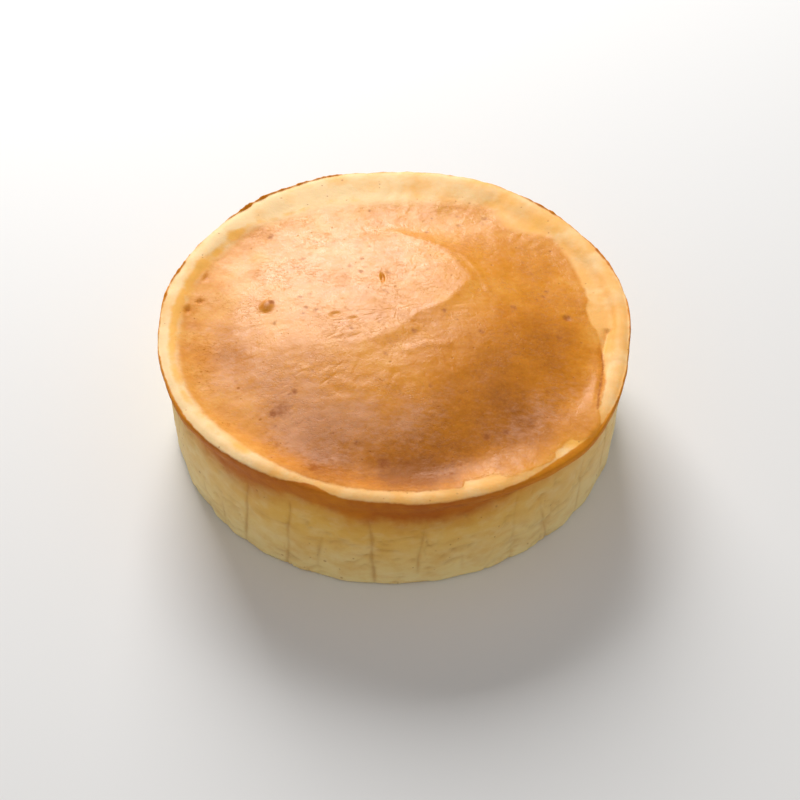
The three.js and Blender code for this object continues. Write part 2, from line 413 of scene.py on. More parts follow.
@dataclass
class PaperFolds:
    """The creases in the side, the panels between them and the paper's fine wrinkles."""

    front: tuple[Crease, ...] = (
        Crease(-144, 0.4, 4, high=0.5), Crease(-136, 0.45, 1, high=0.5), Crease(-127, 0.8, -3),
        Crease(-115, 0.65, -2), Crease(-106.7, 0.5, -3, 0.05, 0.7), Crease(-94.5, 0.85, 1.5, low=-0.05),
        Crease(-83, 0.5, -1.8, low=0.1), Crease(-73, 0.35, 1, 0.1, 0.5), Crease(-59.5, 0.3, 0),
        Crease(-51, 0.6, 6, high=0.65),
    )
    spacing: float = 14
    depth_share: float = 0.45
    half_width: float = 0.55
    sharpness: float = 1.4
    waver: float = 0.6
    waver_length: float = 9
    strength: float = 0.85
    strength_waver: float = 0.9
    strength_length: float = 5
    strength_limits: Span = (0.2, 1.3)
    # The crease depth at which the painted shade in a crease is full
    shade_depth: float = 0.6
    panel_swell: float = 0.5
    gather: float = 1.8
    gather_half_angle: float = 1.3
    lumps: tuple[Lumps, ...] = (Lumps(0.3, 11, 33), Lumps(0.14, (5, 5, 3), 34))
    wrinkles: tuple[Wrinkles, ...] = (
        Wrinkles(0.6, (14, 14, 2.8), 0.08, 31, (17, 17, 8), (-0.15, 0.3)),
        Wrinkles(0.42, (5, 9, 7), 0.06, 40, 16, (-0.05, 0.4)),
    )
    fade_start: float = 0.86

    def creases(self) -> list[Crease]:
        """Return the creases all round in order of angle, from the same seeded draws as the solid's.

        Returns:
            The creases in front, then the hidden ones.
        """
        modulus = 2147483647
        multiplier = 16807
        seed = 20261

        def draw() -> float:
            """Return the next number from 0 to 1."""
            nonlocal seed
            seed = (seed * multiplier) % modulus
            return seed / modulus

        found = list(self.front)
        end = self.front[0].angle + 360 - self.spacing / 2
        angle = self.front[-1].angle + self.spacing
        while angle < end:
            depth = 0.2 + 0.6 * draw()
            lean = 4 * draw() - 2
            low = 0.5 * depth - 0.3
            found.append(Crease(angle, depth, lean, low, low + 1.1))
            angle += self.spacing * (0.65 + 0.7 * draw())
        return found

    def gathered(self, angle: Array) -> Array:
        """Move evenly spaced angles closer together at the creases.

        Args:
            angle: The evenly spaced angles.

        Returns:
            The angles that the mesh's columns stand at.
        """
        start = -180.0
        grid = np.linspace(start, start + 360, 7201)
        density = np.ones_like(grid)
        for crease in self.creases():
            density += self.gather * hump(degrees_between(grid, crease.angle), self.gather_half_angle)
        reached = np.concatenate([[0], np.cumsum((density[1:] + density[:-1]) / 2)])
        return np.interp((angle - start) % 360, reached / reached[-1] * 360, grid)

    def lean(self, angle: Array) -> Array:
        """Return the lean at each angle, shared out between neighbouring creases.

        Args:
            angle: The angle of each place.

        Returns:
            The lean from foot to band, in degrees.
        """
        creases = self.creases()
        around = np.array([c.angle for c in creases])
        return np.interp(angle, around, [c.lean for c in creases], period=360)

    def nearness(self, angle: Array, height: Array, up: Array, radius: float) -> tuple:
        """Find the creases near each point of the side.

        Args:
            angle: The angle of each point, before its lean.
            height: Its height.
            up: Its share of the way up the side.
            radius: The side's radius.

        Returns:
            The turn to the nearest crease, and how much of a crease's bottom there is.
        """
        level = np.stack([np.zeros_like(height), np.zeros_like(height), height], axis=1)
        nearest = np.full_like(angle, 180.0)
        bottom = np.zeros_like(angle)
        for i, crease in enumerate(self.creases()):
            waver = self.waver * perlin(level, self.waver_length, 50 + i)
            away = np.abs(degrees_between(angle, crease.angle) + waver)
            nearest = np.minimum(nearest, away)
            trough = np.exp(-((np.radians(away) * radius / self.half_width) ** self.sharpness))
            strength = self.strength + self.strength_waver * perlin(level, self.strength_length, 70 + i)
            strength = np.clip(strength, *self.strength_limits)
            bottom = np.maximum(bottom, crease.depth * crease.shown(up) * trough * strength)
        return nearest, bottom

    def relief(self, nearest: Array, bottom: Array) -> Array:
        """Return how far the side stands out, in at a crease and out between two."""
        return self.panel_swell * smoothstep(0, self.spacing / 2, nearest) - self.depth_share * bottom


@dataclass(frozen=True)
class Hill:
    """The dome's rise over the groove, which is steepest well outside the middle."""

    top_x: float = 2.5
    top_y: float = -12
    blunting: float = 4
    power: float = 2
    runout: float = 0.2
    runout_power: float = 12

    def share(self, x: Array, y: Array, edge_radius: float) -> Array:
        """Return the share of the rise at each place.

        Args:
            x: Each place's x.
            y: Each place's y.
            edge_radius: The radius at which the rise ends.

        Returns:
            The share, from 1 on top to 0 at the edge.
        """
        dx, dy = x - self.top_x, y - self.top_y
        away = np.maximum(np.hypot(dx, dy), 1e-6)
        along = (self.top_x * dx + self.top_y * dy) / away
        reach = np.sqrt(along**2 + edge_radius**2 - self.top_x**2 - self.top_y**2) - along
        blunt = np.hypot(away, self.blunting) - self.blunting
        out = np.minimum(blunt / (np.hypot(reach, self.blunting) - self.blunting), 1)
        return 1 - (1 + self.runout) * out**self.power + self.runout * out**self.runout_power


@dataclass(frozen=True)
class Plateau:
    """The dome's flat top: a round that ends in a straight fold on the side that faces the front."""

    x: float = -7
    y: float = 8
    radius: float = 35.8
    fold_distance: float = 20.5
    fold_angle: float = -55
    rounding: float = 6
    step: float = 0.5
    half_width: float = 3
    ridge: float = 0.12
    ridge_start: float = -3
    ridge_half_width: float = 1.8
    facing: float = 5
    full_angle: float = 75
    faded_angle: float = 130
    wander: Lumps = Lumps(2.6, 9, 8)

    def past(self, x: Array, y: Array) -> Array:
        """Return how far past the plateau's wandering edge each place is.

        Args:
            x: Each place's x.
            y: Each place's y.

        Returns:
            The distance, which is below 0 on the plateau.
        """
        turn = math.radians(self.fold_angle)
        past_round = np.hypot(x - self.x, y - self.y) - self.radius
        past_fold = (x - self.x) * math.cos(turn) + (y - self.y) * math.sin(turn) - self.fold_distance
        wander = self.wander.share(flat_places(x, y))
        return self.rounding * np.logaddexp(past_round / self.rounding, past_fold / self.rounding) + wander

    def share(self, x: Array, y: Array) -> Array:
        """Return how marked the edge is on each place's side of the plateau."""
        turned = np.abs(degrees_between(bearing(x - self.x, y - self.y), self.facing))
        return 1 - smoothstep(self.full_angle, self.faded_angle, turned)

    def fall(self, x: Array, y: Array) -> Array:
        """Return how far the surface has fallen at each place on its way out over the edge."""
        return self.step * 0.5 * (1 + np.tanh(self.past(x, y) / self.half_width))

    def raised_edge(self, past: Array) -> Array:
        """Return the height of the low ridge just inside the edge."""
        return self.ridge * hump(past - self.ridge_start, self.ridge_half_width)


@dataclass
class DomeRelief:
    """The unevenness of the dome."""

    hill: Hill = Hill()
    plateau: Plateau = Plateau()
    crack: Line = Line(((66.8, -1.7), (64.5, -11.4), (64.4, -17.3), (61.7, -31.4), (61.2, -35.4)), -0.8, 0.9)
    # Painted shade along the crack's furrow, laid in with the scorch marks
    crack_shade: float = 0.68
    crack_shade_half_width: float = 0.6
    ridges: tuple[Line, ...] = (
        Line(((14, 34), (22, 28), (27, 19), (29, 11)), 0.2, 1.0),
        Line(((4, -18), (10, -15.5), (16, -15)), 0.22, 1.6),
    )
    trough: Line = Line(((-60, 5), (-56, -12), (-46, -32)), -0.6, 6)
    swells: tuple[Spot, ...] = (
        Spot(-14, 20, 26, -0.8), Spot(24, 22, 16, 0.8), Spot(-32, -20, 15, 0.1), Spot(40, -8, 15, 0.7),
        Spot(-44, 14, 12, 0.4),
    )
    ripple: Stretch = Stretch(-42, 35, 0.16)
    ripple_inner: float = 27
    ripple_length: float = 15
    bubbles: tuple[Bubble, ...] = (
        BLISTER, Bubble(-4.6, 15.8, 5.6, 1.7, 0.7, 96), Bubble(-19.0, -2.6, 4.4, 3.6, 0.32, 15),
        Bubble(-13.1, -4.8, 4.0, 3.0, 0.28, 150), Bubble(54.1, 2.4, 3.4, 1.8, 0.5, 110),
        Bubble(-66.3, 4.3, 4.0, 2.6, 0.6, 70), Bubble(-62.8, 8.2, 3.2, 2.2, 0.5, 40),
        Bubble(-62.0, 19.6, 4.4, 2.0, 0.4, 75),
    )
    edge_lumps: Lumps = Lumps(1.5, 7, 1)
    lumps: Lumps = Lumps(0.16, 14, 2)
    rough_lumps: tuple[Lumps, ...] = (Lumps(0.1, 6, 3), Lumps(0.05, 2.6, 4))
    calm: float = 0.35
    rough_rise: Span = (-4, 4)
    crinkled: Spot = Spot(-14, -36, 24, 0.17)
    crinkles: Lumps = Lumps(1, (5, 3.2, 1), 7)
    skin_wrinkles: Wrinkles = Wrinkles(0.1, (4, 2.8, 1), 0.08, 5, 12, (-0.15, 0.3))

    def broad(self, x: Array, y: Array) -> Array:
        """Return the relief that the solid has too: the plateau's edge, ripple, swells and trough.

        Args:
            x: Each place's x.
            y: Each place's y.

        Returns:
            The height at each place.
        """
        step = self.plateau.fall(x, y) * self.plateau.share(x, y)
        out = (np.hypot(x, y) - self.ripple_inner) / self.ripple_length
        ripple = self.ripple.share(bearing(x, y)) * smoothstep(0, 1, out) * np.cos(2 * np.pi * out)
        return ripple - step + total((*self.swells, self.trough), x, y)

    def crack_shade_share(self, x: Array, y: Array) -> Array:
        """Return the painted shade along the crack at each place, which darkens the crust like a scorch mark.
        """
        return self.crack_shade * hump(self.crack.away(x, y), self.crack_shade_half_width)

    def fine(self, x: Array, y: Array) -> Array:
        """Return the small relief: bubbles, the plateau's raised edge, crack, ridges, lumps and wrinkles.

        Args:
            x: Each place's x.
            y: Each place's y.

        Returns:
            The height at each place.
        """
        flat = flat_places(x, y)
        past = self.plateau.past(x, y) + self.edge_lumps.share(flat)
        edge = self.plateau.raised_edge(past) * self.plateau.share(x, y)
        rough = self.calm + (1 - self.calm) * smoothstep(*self.rough_rise, past)
        lumps = self.lumps.share(flat) + rough * total(self.rough_lumps, flat)
        lumps += self.crinkled.share(x, y) * self.crinkles.share(flat)
        lines = total((*self.ridges, self.crack, *self.bubbles), x, y)
        return edge + lumps + lines - self.skin_wrinkles.share(flat)


@dataclass(frozen=True)
class SectionPoint:
    """A point of the plain half section, with how much of each unevenness it takes."""

    radius: float
    height: float
    wall: float = 0
    rim: float = 0
    groove: float = 0
    dome: float = 0
    fringe: float = 0
    hill: float = 0
    is_top: bool = False


@dataclass
class Section:
    """The plain form's half section, from the middle of the foot to the top of the dome."""

    lip_radius: float = 75
    wall_radius: float = 72.3
    wall_bulge: float = 0.3
    foot_round: float = 1.6
    rim_top: float = 42.2
    lip_drop: float = 1.4
    band_height: float = 8.8
    crest_inset: float = 2.7
    groove_radius: float = 63.6
    groove_depth: float = 3.1
    dome_top: float = 47.4
    foot_rows: int = 5
    foot_round_rows: int = 4
    wall_rows: int = 34
    band_rows: int = 16
    lip_rows: int = 9
    groove_rows: int = 15
    dome_rows: int = 78
    # Where on the lip's curve the fringe stands and how far it reaches, as shares of the curve,
    # and the shares of the rim's and the dome's unevenness that the groove's bottom takes
    fringe_place: float = 0.3
    fringe_half_width: float = 0.16
    groove_rim: float = 0.6
    groove_dome: float = 0.5
    foot_wall: float = 0.95
    foot_power: int = 8
    flare_end: float = 0.95
    rim_fade: float = 0.25
    groove_fade: float = 0.35
    dome_fade: float = 0.12

    @property
    def band_bottom(self) -> float:
        """The height at which the band meets the side."""
        return self.rim_top - self.band_height

    @property
    def lip_height(self) -> float:
        """The height of the lip's widest line."""
        return self.rim_top - self.lip_drop

    @property
    def groove_height(self) -> float:
        """The height of the groove's lowest line."""
        return self.rim_top - self.groove_depth

    @property
    def crest_radius(self) -> float:
        """The radius of the rim's top."""
        return self.lip_radius - self.crest_inset

    def foot(self) -> list[SectionPoint]:
        """Return the flat foot and its rounded edge.

        Returns:
            The points from the middle outwards.
        """
        flat = self.wall_radius - self.foot_round
        points = []
        for i in range(self.foot_rows + 1):
            out = i / self.foot_rows
            points.append(SectionPoint(flat * out, 0, wall=self.foot_wall * out**self.foot_power))
        for i in range(1, self.foot_round_rows):
            turn = i / self.foot_round_rows * math.pi / 2
            radius = flat + self.foot_round * math.sin(turn)
            points.append(SectionPoint(radius, self.foot_round * (1 - math.cos(turn)), wall=1))
        return points

    def side(self) -> list[SectionPoint]:
        """Return the upright side and the band that flares out to the lip.

        Returns:
            The points from the foot up.
        """
        points = []
        for i in range(self.wall_rows):
            up = i / self.wall_rows
            height = self.foot_round + up * (self.band_bottom - self.foot_round)
            radius = self.wall_radius + self.wall_bulge * math.sin(math.pi * up)
            points.append(SectionPoint(radius, height, wall=1))
        for i in range(self.band_rows):
            up = i / self.band_rows
            flare = float(smoothstep(0, self.flare_end, up))
            radius = self.wall_radius + flare * (self.lip_radius - self.wall_radius)
            height = self.band_bottom + up * (self.lip_height - self.band_bottom)
            points.append(SectionPoint(radius, height, wall=1 - flare, rim=flare))
        return points

    def rim(self) -> list[SectionPoint]:
        """Return the quarter ellipse over the lip and the half cosine wave down to the groove.

        Returns:
            The points from the lip inwards.
        """
        points = []
        for i in range(self.lip_rows + 1):
            turn = i / self.lip_rows * math.pi / 2
            fringe = float(hump(i / self.lip_rows - self.fringe_place, self.fringe_half_width))
            points.append(SectionPoint(
                self.crest_radius + self.crest_inset * math.cos(turn),
                self.lip_height + self.lip_drop * math.sin(turn),
                rim=1, fringe=fringe, is_top=True,
            ))
        for i in range(1, self.groove_rows + 1):
            inwards = i / self.groove_rows
            fall = (1 - math.cos(math.pi * inwards)) / 2
            points.append(SectionPoint(
                self.crest_radius + inwards * (self.groove_radius - self.crest_radius),
                self.rim_top - fall * self.groove_depth,
                rim=1 - (1 - self.groove_rim) * fall, groove=fall, dome=self.groove_dome * fall, is_top=True,
            ))
        return points

    def dome(self) -> list[SectionPoint]:
        """Return the level inside the groove, from which the dome rises.

        Returns:
            The points from the groove to the middle.
        """
        points = []
        for i in range(1, self.dome_rows + 1):
            inwards = i / self.dome_rows
            rise = float(smoothstep(0, self.dome_fade, inwards))
            points.append(SectionPoint(
                self.groove_radius * (1 - inwards),
                self.groove_height,
                rim=self.groove_rim * float(1 - smoothstep(0, self.rim_fade, inwards)),
                groove=float(1 - smoothstep(0, self.groove_fade, inwards)),
                dome=self.groove_dome + (1 - self.groove_dome) * rise,
                hill=1,
                is_top=True,
            ))
        return points

    def points(self) -> list[SectionPoint]:
        """Return the whole half section."""
        return self.foot() + self.side() + self.rim() + self.dome()

    def below_lip(self) -> Array:
        """Return how far each point lies below the lip's widest line, along the section.

        Returns:
            The distance for each point, which is below 0 inside the lip.
        """
        radius, height = np.array([(p.radius, p.height) for p in self.points()]).T
        along = np.concatenate([[0], np.cumsum(np.hypot(np.diff(radius), np.diff(height)))])
        lip = len(self.foot()) + len(self.side())
        return along[lip] - along


class Paint(StrEnum):
    """The point attributes through which the mesh tells the finish where it is."""

    CRUST_INSET = auto()
    SOFTNESS = auto()
    BELOW_LIP = auto()
    BAND_DEPTH = auto()
    BAND_TONE = auto()
    BAND_LINE = auto()
    BAKE = auto()
    SCORCH = auto()
    CREASE = auto()
    GOLDEN = auto()
    PALE = auto()
    DULL = auto()
    DUST = auto()


@dataclass
class Browning:
    """Where the oven browned the crust more or less and the marks it left, with painted shade in the groove
    and at the step under the lip, and painted sheen in dry patches.
    """

    dark_band: tuple[Stretch, ...] = (Stretch(-82, 22, 0.9), Stretch(-126, 20, 0.85), Stretch(60, 90, 0.4))
    # Where a line of painted shade marks the step under the lip
    band_step_shades: tuple[Stretch, ...] = (Stretch(-54, 11, 1.0), Stretch(-28, 10, 0.7), Stretch(-143, 5, 0.4))
    seed: int = 7
    speck_count: int = 170
    speck_reach: float = 64
    speck_radius: float = 0.55
    speck_radius_spread: float = 0.8
    speck_strength: float = 0.15
    speck_strength_spread: float = 0.5
    marks: tuple[Spot, ...] = (
        Spot(-33.8, -39.2, 3.4, 0.6), Spot(-36.2, -40.4, 1.3, 0.7), Spot(-29.9, -33.2, 1.1, 0.9),
        Spot(-22.9, -59.8, 2.6, 0.6), Spot(-23.3, -61.5, 1.1, 0.8), Spot(-2.7, -58.0, 2.0, 0.8),
        Spot(33.3, -46.3, 1.3, 0.7), Spot(27.4, -48.2, 1.5, 0.8), Spot(46.1, -29.8, 1.1, 0.6),
        Spot(36.9, 4.1, 1.5, 0.6), Spot(26.5, -8.9, 1.3, 0.6), Spot(48, 14.5, 1.2, 0.6),
        Spot(54.1, 2.4, 1.6, 0.8), Spot(51, -6.9, 1.3, 0.6), Spot(29, 51, 1.8, 0.5),
        Spot(-39.6, 5.2, 1.3, 0.9), Spot(-36, 52.5, 1.5, 0.7), Spot(-30.9, 27.5, 1.1, 0.6),
        Spot(-11.6, 19.2, 1.0, 0.7), Spot(-28.7, 1.4, 1.2, 0.6), Spot(-25.2, 0.2, 1.1, 0.6),
        Spot(-66.3, 4.3, 1.6, 0.45), Spot(-62.8, 8.2, 1.3, 0.4), Spot(68.1, 14.3, 0.9, 0.7),
        Spot(66.2, 11.4, 0.9, 0.7), Spot(68.8, 11.0, 0.9, 0.7), Spot(60.3, 34.3, 1.2, 0.6),
        Spot(61.8, 25.6, 1.0, 0.5),
    )
    # The golden ring on the groove's inner slope, partly painted shade of the slope that faces away from the
    # window
    golden_shade_ring: Stretch = Stretch(166, 54, 0.9)
    ring_inset: float = -1.3
    ring_half_width: float = 1.7
    golden_and_shade_patches: tuple[Spot, ...] = (
        Spot(-55, 39, 4, 0.5), Spot(-62, 25, 5, 0.9), Spot(-66, 13, 4, 0.9), Spot(-65, 3, 5, 0.9),
        Spot(0, 69, 7, 0.4), Spot(-18, 64, 9, 0.15), Spot(-42, 53, 4, 0.2), Spot(20, 64, 8, 0.2),
        Spot(-65, -9, 5, 0.7), Spot(-62, -22, 5, 0.6), Spot(-54, -41, 6, 0.6), Spot(-43, -53, 6, 0.5),
        Spot(66, -8, 3, 0.7), Spot(54, -46, 8, 0.8), Spot(62, 36, 8, 0.5), Spot(50, 48, 9, 0.6),
        Spot(34, 59, 9, 0.55),
    )
    base: float = 0.16
    browned: tuple[Spot, ...] = (
        Spot(30, -42, 20, 0.62), Spot(5, -64, 15, 0.9), Spot(-20, -60, 12, 0.58),
        Spot(52, -8, 20, 0.47), Spot(22, -18, 20, 0.15), Spot(-30, -35, 22, 0.2),
        Spot(-3, -42, 14, 0.05), Spot(42, -44, 9, 0.25), Spot(42, 22, 12, 0.14),
        Spot(-52, -18, 7, 0.25), Spot(22, 12, 14, -0.14), Spot(-56, 2, 12, -0.1),
        Spot(-66.3, 4.3, 2.4, 0.4), Spot(-62.8, 8.2, 2.0, 0.3), Spot(-62, 19.6, 2.2, 0.3),
        Spot(-64, -3, 3, 0.3), Spot(-56, -14, 12, 0.16), Spot(-12, 16, 24, 0.14),
        Spot(62, -4, 6, -0.32), Spot(59, -16, 5, -0.2), Spot(BLISTER.x, BLISTER.y, 2.6, 0.55),
        Spot(-66, 8, 6, -0.1), Spot(-65, -8, 7, -0.12), Spot(-60, -26, 6, -0.12),
    )
    # Dry, powdery patches on the front of the dome, whose pinkish tint is partly painted sheen
    dusty_sheen: tuple[Spot, ...] = (
        Spot(-31, -34, 12, 0.6), Spot(-42, -24, 9, 0.5), Spot(-28, -47, 9, 0.8),
        Spot(-12, -44, 10, 0.75), Spot(6, -43, 10, 0.5), Spot(36, -46, 6, 0.5), Spot(45, -38, 6, 0.6),
        Spot(51, -28, 5, 0.4), Spot(-20, -57, 5, 0.4), Spot(-52, -8, 10, 0.3), Spot(-55, -28, 6, 0.3),
    )
    dust_sheen_lumps: Lumps = Lumps(0.2, 5, 14)
    clouds: tuple[Lumps, ...] = (Lumps(0.10, 24, 11), Lumps(0.08, 9, 12))
    pale_edge: Stretch = Stretch(-75, 55, 0.3)
    pale_edge_width: float = 3.5
    dull_edges: tuple[EdgeZone, ...] = (
        EdgeZone(-168, 46, 0.9, 5, 22), EdgeZone(-105, 30, 1, 6, 14), EdgeZone(-50, 30, 0.15, 3, 9),
        EdgeZone(-20, 12, 1, 0, 6),
    )
    dull_lumps: Lumps = Lumps(0.25, 7, 13)
    blister_dullness: float = 0.3
    blister_rise: Span = (2, 3.2)

    def dust_and_sheen(self, x: Array, y: Array) -> Array:
        """Return how dry and powdery the skin is at each place, where its pinkish tint is partly painted
        sheen.
        """
        return total(self.dusty_sheen, x, y) + self.dust_sheen_lumps.share(flat_places(x, y))

    def golden(self, x: Array, y: Array, inset: Array) -> Array:
        """Return how golden the rim's crumb is, from 0 to 1, most in the ring beside the crust, where the
        gold is partly painted shade on the groove's inner slope.
        """
        ring = self.golden_shade_ring.share(bearing(x, y)) * hump(inset - self.ring_inset, self.ring_half_width)
        return 1 - (1 - ring) * left_clear(self.golden_and_shade_patches, x, y)

    def specks(self) -> list[Spot]:
        """Return small marks scattered by seeded draws.

        Returns:
            The marks.
        """
        rng = np.random.default_rng(self.seed)
        found = []
        for _ in range(self.speck_count):
            radius = self.speck_reach * math.sqrt(rng.random())
            angle = rng.random() * 2 * math.pi
            size = self.speck_radius + self.speck_radius_spread * rng.random() ** 2
            strength = self.speck_strength + self.speck_strength_spread * rng.random()
            found.append(Spot(radius * math.cos(angle), radius * math.sin(angle), size, strength))
        return found

    def scorch(self, x: Array, y: Array) -> Array:
        """Return how much each place is marked by scorch marks and specks, from 0 to 1."""
        return 1 - left_clear([*self.marks, *self.specks()], x, y)

    def bake(self, x: Array, y: Array, inset: Array) -> Array:
        """Return how brown the crust is, from 0 for pale gold to 1 for dark brown.

        Args:
            x: Each place's x.
            y: Each place's y.
            inset: How far each place lies inside the crust's edge.

        Returns:
            The browning of each place.
        """
        pale_edge = self.pale_edge.share(bearing(x, y)) * hump(inset, self.pale_edge_width)
        return self.base + total(self.browned, x, y) + total(self.clouds, flat_places(x, y)) - pale_edge

    def dull(self, x: Array, y: Array, inset: Array) -> Array:
        """Return how dull the crust is: along stretches of its edge and on the blister.

        Args:
            x: Each place's x.
            y: Each place's y.
            inset: How far each place lies inside the crust's edge.

        Returns:
            The dullness of each place.
        """
        from_blister = np.hypot(x - BLISTER.x, y - BLISTER.y)
        blister = self.blister_dullness * (1 - smoothstep(*self.blister_rise, from_blister))
        edges = total(self.dull_edges, bearing(x, y), inset)
        return np.clip(edges + blister + self.dull_lumps.share(flat_places(x, y)), 0, 1)


def placed(name: str, data: bpy.types.ID) -> bpy.types.Object:
    """Make an object of a mesh, a light or a camera and put it into the scene.

    Args:
        name: Its name.
        data: What it is made of.

    Returns:
        The object.
    """
    thing = bpy.data.objects.new(name, data)
    bpy.context.scene.collection.objects.link(thing)
    return thing


def aim(thing: bpy.types.Object, back: Vector, roll: float = 0) -> None:
    """Turn a light or a camera so that its back faces a direction, rolled by an angle."""
    thing.rotation_mode = "QUATERNION"
    thing.rotation_quaternion = (-back).to_track_quat("-Z", "Y") @ Quaternion((0, 0, 1), math.radians(roll))


@dataclass
class Cheesecake:
    """The whole cake: its section, its unevenness and its browning."""

    section: Section = field(default_factory=Section)
    outline: Outline = field(default_factory=Outline)
    folds: PaperFolds = field(default_factory=PaperFolds)
    relief: DomeRelief = field(default_factory=DomeRelief)
    browning: Browning = field(default_factory=Browning)
    columns: int = 600
    fringe_height: float = 1.5
    fringe_reach: float = 1.4
    least_fringe: float = 0.1
    fringe_mean: float = 0.75
    fringe_lumps: tuple[Lumps, ...] = (Lumps(0.5, 2.2, 21), Lumps(0.3, 0.9, 22))
    fringe_limits: Span = (0.1, 1.3)
    fringe_stretches: tuple[Stretch, ...] = (
        Stretch(165, 10, 0.8), Stretch(131, 9, 0.8), Stretch(112, 9, 0.5), Stretch(48, 8, 0.5),
        Stretch(24, 7, 0.6), Stretch(4, 9, 0.5), Stretch(80, 90, 0.25), Stretch(-172, 18, 0.3),
        Stretch(-25, 14, 0.3),
    )
    # The inset that the side is given, which is far outside the crust
    outside: float = -20
    fine_rise: Span = (0, 0.3)

    def spun(self, points: list[SectionPoint]) -> bpy.types.Mesh:
        """Turn the half section into a closed mesh, in millimetres, that remembers each vertex's row.

        Args:
            points: The half section's points.

        Returns:
            The mesh.
        """
        bm = bmesh.new()
        row_layer = bm.verts.layers.int.new("row")
        chain = []
        for i, point in enumerate(points):
            vertex = bm.verts.new((point.radius, 0, point.height))
            vertex[row_layer] = i
            chain.append(vertex)
        for a, b in zip(chain, chain[1:]):
            bm.edges.new((a, b))
        bmesh.ops.spin(
            bm, geom=bm.verts[:] + bm.edges[:], cent=(0, 0, 0), axis=(0, 0, 1), dvec=(0, 0, 0),
            angle=2 * math.pi, steps=self.columns, use_merge=True,
        )
        bmesh.ops.remove_doubles(bm, verts=bm.verts[:], dist=1e-4)
        bmesh.ops.recalc_face_normals(bm, faces=bm.faces[:])
        mesh = bpy.data.meshes.new("cheesecake")
        bm.to_mesh(mesh)
        bm.free()
        return mesh

    def fringe(self, angle: Array) -> Array:
        """Return how far the browned skin's torn edge shows beside the rim, from 0 to about 1.

        Args:
            angle: The angle of each place.

        Returns:
            The share that shows at each angle.
        """
        along = flat_places(angle, np.zeros_like(angle))
        ragged = np.clip(self.fringe_mean + total(self.fringe_lumps, along), *self.fringe_limits)
        return np.clip(self.least_fringe + total(self.fringe_stretches, angle), 0, 1) * ragged

    def shape(self, mesh: bpy.types.Mesh, points: list[SectionPoint]) -> dict[Paint, Array]:
        """Move the turned mesh's vertices to where they lie on the real cake.

        Args:
            mesh: The turned mesh, which is changed.
            points: The half section's points.

        Returns:
            What each paint attribute says at each vertex.
        """
        section, outline, folds, browning = self.section, self.outline, self.folds, self.browning
        count = len(mesh.vertices)
        place = np.empty(count * 3)
        mesh.vertices.foreach_get("co", place)
        place = place.reshape(-1, 3)
        row = np.empty(count, dtype=np.int32)
        mesh.attributes["row"].data.foreach_get("value", row)
        plain_radius, wall, rim, groove, dome, fringe, hill, is_top = (
            np.array([getattr(point, name) for point in points], float)[row]
            for name in ("radius", "wall", "rim", "groove", "dome", "fringe", "hill", "is_top")
        )
        height = place[:, 2].copy()
        column = folds.gathered(bearing(place[:, 0], place[:, 1]))
        up = np.clip(height / section.band_bottom, 0, 1)
        angle = column + folds.lean(column) * (0.5 - up)
        cos, sin = np.cos(np.radians(angle)), np.sin(np.radians(angle))
        turned = np.stack([cos * section.lip_radius, sin * section.lip_radius, height], axis=1)

        nearest, bottom = folds.nearness(column, height, up, section.wall_radius)
        fade = 1 - smoothstep(folds.fade_start, 1.0, up)
        wrinkles = total(folds.wrinkles, turned) * fade
        side = folds.relief(nearest, bottom) * fade - wrinkles + total(folds.lumps, turned)
        radius = plain_radius + wall * (total(outline.wall_waves, angle) + side)
        radius += rim * (total(outline.lip_waves, angle) + total(outline.lip_nibbles, turned))
        radius += groove * total(outline.groove_shifts, angle)
        radius[plain_radius < 1e-6] = 0
        x, y = radius * cos, radius * sin

        inset = outline.crust_edge(angle) - radius
        softness = outline.edge_softness(angle)
        past_edge = (inset + outline.crust_ragged.share(turned)) / softness
        crust_step = outline.crust_step * smoothstep(-0.5, 0.5, past_edge) / softness
        rise = self.relief.hill.share(plain_radius * cos, plain_radius * sin, section.groove_radius)
        ragged_fringe = self.fringe(angle)
        height += rim * (outline.rim_shift(angle) + is_top * total(outline.rim_lumps, turned))
        height += groove * outline.groove_filling(angle)
        height += hill * rise * (section.dome_top - section.groove_height) + dome * self.relief.broad(x, y)
        fine = smoothstep(*self.fine_rise, dome) * self.relief.fine(x, y)
        height += is_top * (fine + crust_step * (1 - fringe))
        height += self.fringe_height * fringe * ragged_fringe

        moved = np.stack([x, y, height], axis=1) * MM
        mesh.vertices.foreach_set("co", moved.astype(np.float32).ravel())
        mesh.attributes.remove(mesh.attributes["row"])
        mesh.update()
        skin_top = outline.skin_top(angle) + self.fringe_reach * ragged_fringe
        return {
            Paint.CRUST_INSET: np.where(is_top, inset, self.outside),
            Paint.SOFTNESS: softness,
            Paint.BELOW_LIP: section.below_lip()[row] + skin_top,
            Paint.BAND_DEPTH: outline.band_bottom(angle),
            Paint.BAND_TONE: total(browning.dark_band, angle),
            # Painted shade along the step under the lip
            Paint.BAND_LINE: total(browning.band_step_shades, angle),
            Paint.BAKE: browning.bake(x, y, inset),
            # Scorch marks and specks, with painted shade along the crack
            Paint.SCORCH: np.maximum(browning.scorch(x, y), self.relief.crack_shade_share(x, y)) * is_top,
            # Painted shade: the side's creases and wrinkles, where shade falls in them
            Paint.CREASE: np.clip(np.maximum(bottom / folds.shade_depth, wrinkles), 0, 1) * fade * wall,
            # Golden crumb, partly painted shade in the groove
            Paint.GOLDEN: is_top * browning.golden(x, y, inset),
            Paint.PALE: total(outline.pale, angle),
            Paint.DULL: browning.dull(x, y, inset),
            # Dry skin, whose pinkish tint is partly painted sheen
            Paint.DUST: browning.dust_and_sheen(x, y),
        }

